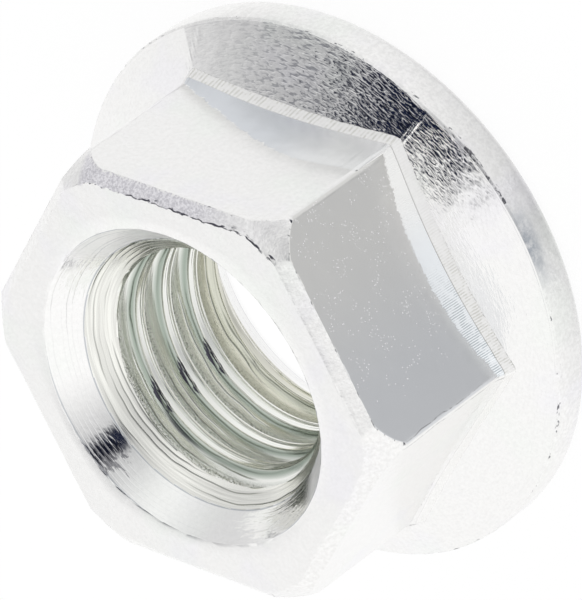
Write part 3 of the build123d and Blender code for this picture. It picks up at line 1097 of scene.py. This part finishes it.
def lay_floor():
    """A white light table that keeps the shadow. In the metal the tent shows in its place.

    From below it is clear, so the bearing face can be looked at.
    """
    bpy.ops.mesh.primitive_plane_add(size=TABLE_SIZE, location=(0, 0, -TABLE_DROP))
    floor = bpy.context.object
    floor.name = "light_table"
    material = empty_material("light_table_paper")
    tree = material.node_tree
    place = add_node(tree, "ShaderNodeTexCoord").outputs["Object"]
    from_axis = add_node(tree, "ShaderNodeVectorMath", {0: place}, operation="LENGTH").outputs["Value"]
    under_bore = fade(tree, from_axis, *BORE_GLOW_ENDS, 1.0, 0.0)
    glow = add_node(tree, "ShaderNodeEmission", {"Strength": TABLE_GLOW})
    paper = add_node(tree, "ShaderNodeBsdfDiffuse", {"Color": (1.0, 1.0, 1.0, 1)})
    lit = add_node(tree, "ShaderNodeMixShader", {
        "Fac": fade(tree, under_bore, 0.0, 1.0, TABLE_GLOW_SHARE, 1.0),
        1: paper.outputs[0], 2: glow.outputs[0]})
    clear = add_node(tree, "ShaderNodeBsdfTransparent")
    path = add_node(tree, "ShaderNodeLightPath")
    below = add_node(tree, "ShaderNodeNewGeometry").outputs["Backfacing"]
    unseen = calculate(tree, "MAXIMUM", path.outputs["Is Glossy Ray"], below)
    surface = add_node(tree, "ShaderNodeMixShader", {
        "Fac": unseen, 1: lit.outputs[0], 2: clear.outputs[0]})
    add_node(tree, "ShaderNodeOutputMaterial", {"Surface": surface.outputs[0]})
    floor.data.materials.append(material)


TENT_BLACK = (0.01, 0.014, 0.035, 1)
TENT_WHITE = (1.0, 1.0, 1.0, 1)

# What the metal sees in the tent: where each part of it that isn't white lies (azimuth and
# elevation in degrees), how far from there it starts and stops to brighten, and its level.
TENT_SHADES = (
    ((-74, 33), 4, 12, 0.0),      # the lens
    ((-71, 26), 0, 54, 0.52),     # and the dimmer ring round it
    ((33, 77), 12, 18, 0.0),      # the gap at the top
    ((37, 69), 5, 13, 0.52),      # its edges
    ((43, 60), 0, 24, 0.64),
    ((75, 59), 8, 30, 0.64),
    ((27, 10), 4, 65, 0.7),       # the shaded side
    ((-101, -46), 7, 19, 0.73),   # the shade below the lens
    ((-85, -62), 6, 76, 0.68),    # and round it
)


def light_studio():
    """A white tent all round, with a few blue-black and grey places that only the metal sees."""
    world = bpy.data.worlds.new("light_tent")
    bpy.context.scene.world = world
    world.use_nodes = True
    tree = world.node_tree
    tree.nodes.clear()
    look = add_node(tree, "ShaderNodeTexCoord").outputs["Generated"]
    level = 1.0
    for place, inner, outer, shade in TENT_SHADES:
        towards = add_node(tree, "ShaderNodeVectorMath", {0: look, 1: direction(*place)},
                           operation="DOT_PRODUCT").outputs["Value"]
        off = calculate(tree, "DEGREES", calculate(tree, "ARCCOSINE", towards))
        level = multiply(tree, fade(tree, off, inner, outer, shade, 1.0), level)
    colour = blend(tree, level, TENT_BLACK, TENT_WHITE)
    path = add_node(tree, "ShaderNodeLightPath")
    tent = add_node(tree, "ShaderNodeBackground", {"Color": colour, "Strength": 1.0})
    white = add_node(tree, "ShaderNodeBackground", {"Color": TENT_WHITE, "Strength": 1.0})
    shown = add_node(tree, "ShaderNodeMixShader", {
        "Fac": path.outputs["Is Camera Ray"], 1: tent.outputs[0], 2: white.outputs[0]})
    add_node(tree, "ShaderNodeOutputWorld", {"Surface": shown.outputs[0]})


# The camera: its lens is given by a focal length in pixels of the picture's width. The place
# that it aims at is in millimetres, its distance in metres and its direction in degrees.
SENSOR_WIDTH = 36.0
PICTURE_WIDTH = 582.0
FOCAL_LENGTH = 9000.0
CAMERA_AIM = (-0.121, 1.854, 2.115)
CAMERA_DISTANCE = 0.3725
CAMERA_AZIMUTH = -76.67
CAMERA_ELEVATION = 40.90
CAMERA_ROLL = -125.72
CAMERA_CLIP_START = 0.01


def set_camera():
    """Look down on the nut, rolled so that the free end points to the lower left."""
    data = bpy.data.cameras.new("camera")
    data.sensor_width = SENSOR_WIDTH
    data.sensor_fit = "HORIZONTAL"
    data.lens = SENSOR_WIDTH * FOCAL_LENGTH / PICTURE_WIDTH
    data.clip_start = CAMERA_CLIP_START
    camera = bpy.data.objects.new("camera", data)
    bpy.context.scene.collection.objects.link(camera)
    back = direction(CAMERA_AZIMUTH, CAMERA_ELEVATION)
    roll = Matrix.Rotation(math.radians(CAMERA_ROLL), 3, "Z")
    turn = (-back).to_track_quat("-Z", "Y").to_matrix() @ roll
    place = Vector(CAMERA_AIM) * MM + back * CAMERA_DISTANCE
    camera.matrix_world = Matrix.LocRotScale(place, turn, None)
    bpy.context.scene.camera = camera


nut = make_nut()
for make_finish in (zinc_on_face, zinc_on_chamfer, zinc_on_flat, zinc_on_skirt, zinc_on_cone,
                    zinc_on_rim, zinc_on_countersink, zinc_on_lead_in, zinc_in_thread):
    nut.data.materials.append(make_finish())
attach(nut, "root")
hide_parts("flange_nut")

lay_floor()
light_studio()
set_camera()
bpy.context.scene.view_settings.view_transform = "Standard"
